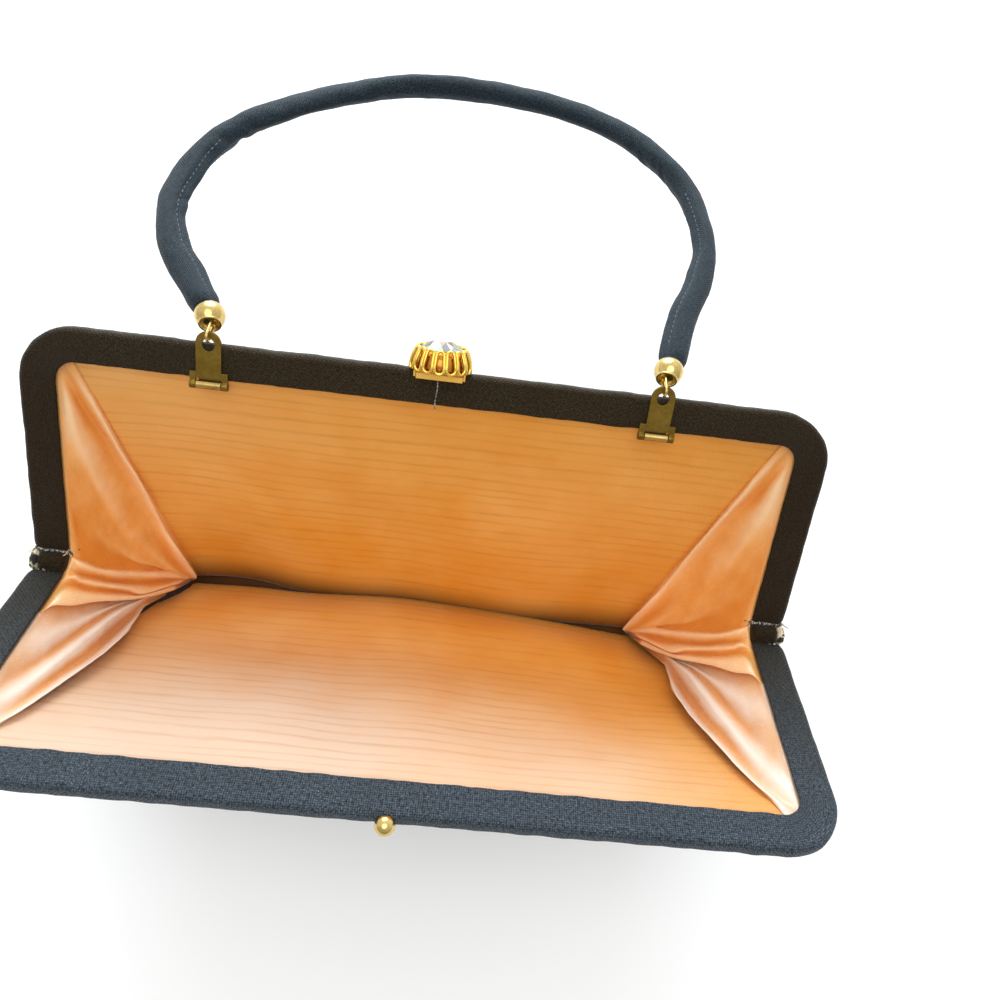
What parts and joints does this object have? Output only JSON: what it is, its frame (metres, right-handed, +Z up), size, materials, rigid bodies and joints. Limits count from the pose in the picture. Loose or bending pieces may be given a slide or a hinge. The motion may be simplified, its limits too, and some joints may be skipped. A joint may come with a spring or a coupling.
{
  "type": "kiss lock frame purse",
  "caption": "Small evening purse with a hinged fabric-covered frame, a rocking jewel clasp over a ball catch, a folding padded loop handle and a gathered lining, standing open.",
  "frame": {"origin": "middle of the underside of the base, on the surface the purse stands on", "axes": "+X along the hinge axis to the right, +Y to the back half that carries the clasp and handle, +Z up"},
  "size_m": [0.254, 0.2738, 0.125],
  "materials": {
    "steel": "dull plated steel",
    "frame_fabric": "fine black woven cover, slightly worn",
    "handle_fabric": "black woven tube, soft sheen",
    "cord": "cotton cord",
    "copper": "copper-coloured sheet",
    "gold": "polished gold tone",
    "antique_brass": "dull aged brass",
    "crystal": "clear faceted",
    "bag_fabric": "fine black woven cloth",
    "paperboard": "grey-brown paperboard",
    "lining_twill": "orange-peach twill with moire lines",
    "lining_satin": "peach satin"
  },
  "bodies": {
    "bag": {"bottom_panel": "bag_fabric", "back_panel": "bag_fabric", "front_panel": "bag_fabric", "gusset_left": "bag_fabric", "gusset_right": "bag_fabric", "back_board": "paperboard", "front_board": "paperboard", "base_board": "paperboard", "back_lining": "lining_twill", "front_lining": "lining_twill", "gusset_lining_left": "lining_satin", "gusset_lining_right": "lining_satin", "bottom_lining": "lining_twill", "hinge_rivet_left": "steel", "hinge_rivet_right": "steel"},
    "back_frame": {"back_frame_steel": "steel", "back_frame_cover": "frame_fabric", "clasp_saddle": "copper", "clasp_pin": "steel", "clasp_spring": "steel", "tab_bracket_left": "antique_brass", "tab_bracket_right": "antique_brass", "tab_pin_left": "steel", "tab_pin_right": "steel"},
    "front_frame": {"front_frame_steel": "steel", "front_frame_cover": "frame_fabric", "catch_ball": "gold", "catch_washer": "gold"},
    "clasp_rocker": {"clasp_rocker": "gold", "clasp_crown": "gold", "clasp_stone": "crystal"},
    "handle_tabs": {"tab_left": "antique_brass", "tab_right": "antique_brass"},
    "handle": {"handle_core": "cord", "handle_cover": "handle_fabric", "handle_cap_left": "gold", "handle_cap_right": "gold", "handle_eye_left": "gold", "handle_eye_right": "gold"}
  },
  "joints": [
    {"name": "back_swing", "type": "hinge", "parent": "bag", "child": "back_frame", "pos_m": [0, 0, 0.07], "axis": [1, 0, 0], "range_deg": [0, 54], "deforming": ["back_panel", "back_board", "back_lining", "gusset_left", "gusset_right", "gusset_lining_left", "gusset_lining_right"]},
    {"name": "front_swing", "type": "hinge", "parent": "bag", "child": "front_frame", "pos_m": [0, 0, 0.07], "axis": [-1, 0, 0], "range_deg": [0, 54], "deforming": ["front_panel", "front_board", "front_lining", "gusset_left", "gusset_right", "gusset_lining_left", "gusset_lining_right"]},
    {"name": "clasp_rock", "type": "hinge", "parent": "back_frame", "child": "clasp_rocker", "pos_m": [0, 0.06713, 0.11235], "axis": [-1, 0, 0], "range_deg": [0, 18], "stiffness_Nm_per_rad": 0.05, "deforming": ["clasp_spring"]},
    {"name": "tab_fold", "type": "hinge", "parent": "back_frame", "child": "handle_tabs", "pos_m": [0, 0.05278, 0.1081], "axis": [-1, 0, 0], "range_deg": [-150, 0]},
    {"name": "handle_swing", "type": "hinge", "parent": "handle_tabs", "child": "handle", "pos_m": [0, 0.06516, 0.1171], "axis": [1, 0, 0], "range_deg": [0, 102]}
  ]
}
